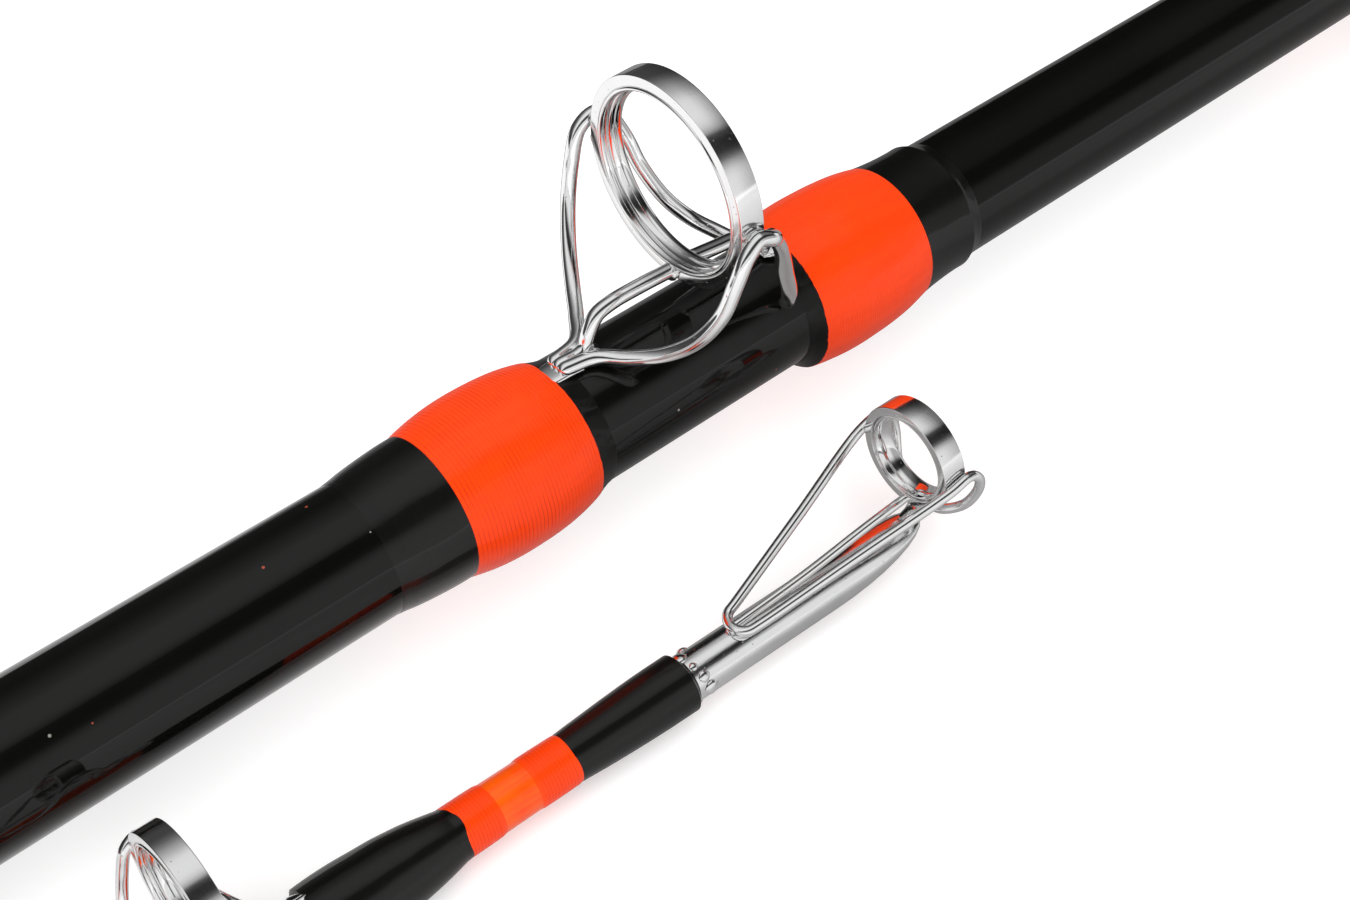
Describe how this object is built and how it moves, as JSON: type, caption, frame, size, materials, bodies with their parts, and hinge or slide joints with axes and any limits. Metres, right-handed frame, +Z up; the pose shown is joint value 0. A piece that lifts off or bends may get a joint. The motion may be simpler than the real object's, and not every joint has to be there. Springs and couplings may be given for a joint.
{
  "type": "ice fishing rod",
  "caption": "Short take-down ice fishing rod: handle section with foam grips, screw-locking reel seat and wire guides, and a flexible glass tip section lying beside it.",
  "frame": {"origin": "middle of the butt cap's flat rear face, on the rod's axis", "axes": "+X along the rod towards its tip, +Z up on the guides' side, -Y towards the tip section that lies beside the handle section"},
  "size_m": [0.52, 0.027, 0.0287],
  "materials": {
    "butt_rubber": "matte moulded rubber",
    "grip_foam": "closed-cell foam, ground smooth",
    "alloy_trim": "turned and anodised",
    "seat_body": "black reinforced nylon with a moulded thread",
    "arbor": "plain arbor",
    "hood_metal": "anodised",
    "nut_metal": "knurled, anodised",
    "graphite_blank": "clear-coated black graphite",
    "orange_thread": "thread under clear epoxy",
    "black_thread": "thread under clear epoxy",
    "guide_wire": "polished stainless wire",
    "ring_band": "satin stainless band",
    "ring_insert": "mirror-polished stainless",
    "tube_metal": "bright plated tube",
    "tip_glass": "clear-coated orange fibreglass"
  },
  "bodies": {
    "handle_section": {"butt_blank": "graphite_blank", "butt_cap": "butt_rubber", "ferrule": "alloy_trim", "ferrule_wrap": "black_thread", "fixed_hood": "hood_metal", "fore_check": "alloy_trim", "fore_grip": "grip_foam", "middle_frame": "guide_wire", "middle_front_wrap": "orange_thread", "middle_insert": "ring_insert", "middle_rear_wrap": "orange_thread", "middle_ring": "ring_band", "rear_check": "alloy_trim", "rear_grip": "grip_foam", "reel_seat_barrel": "seat_body", "seat_arbor_front": "arbor", "seat_arbor_rear": "arbor", "stripper_frame": "guide_wire", "stripper_front_trim": "black_thread", "stripper_front_wrap": "orange_thread", "stripper_insert": "ring_insert", "stripper_rear_trim": "black_thread", "stripper_rear_wrap": "orange_thread", "stripper_ring": "ring_band"},
    "sliding_hood": {"sliding_hood": "hood_metal"},
    "lock_nut": {"lock_nut": "nut_metal"},
    "tip_section": {"lower_frame": "guide_wire", "lower_front_wrap": "black_thread", "lower_insert": "ring_insert", "lower_rear_wrap": "black_thread", "lower_ring": "ring_band", "shoulder_wrap": "black_thread", "tip_blank": "tip_glass", "tip_front_trim": "orange_thread", "tip_rear_trim": "orange_thread", "tip_top_frame": "guide_wire", "tip_top_insert": "ring_insert", "tip_top_ring": "ring_band", "tip_top_tube": "tube_metal", "tip_tube_wrap": "black_thread", "upper_frame": "guide_wire", "upper_front_wrap": "black_thread", "upper_insert": "ring_insert", "upper_rear_wrap": "black_thread", "upper_ring": "ring_band"}
  },
  "joints": [
    {"name": "hood_slide", "type": "slide", "parent": "handle_section", "child": "sliding_hood", "axis": [-1, 0, 0], "range_m": [0, 0.014]},
    {"name": "nut_turn", "type": "hinge", "parent": "sliding_hood", "child": "lock_nut", "pos_m": [0.20935, 0, 0], "axis": [-1, 0, 0], "range_deg": [0, 2520]},
    {"name": "tip_lift_away", "type": "slide", "parent": "handle_section", "child": "tip_section", "axis": [0, -1, 0], "range_m": [0, 0.06]}
  ],
  "couplings": [
    {"joint": "nut_turn", "follows": "hood_slide", "rad_per_m": 3141.6}
  ]
}
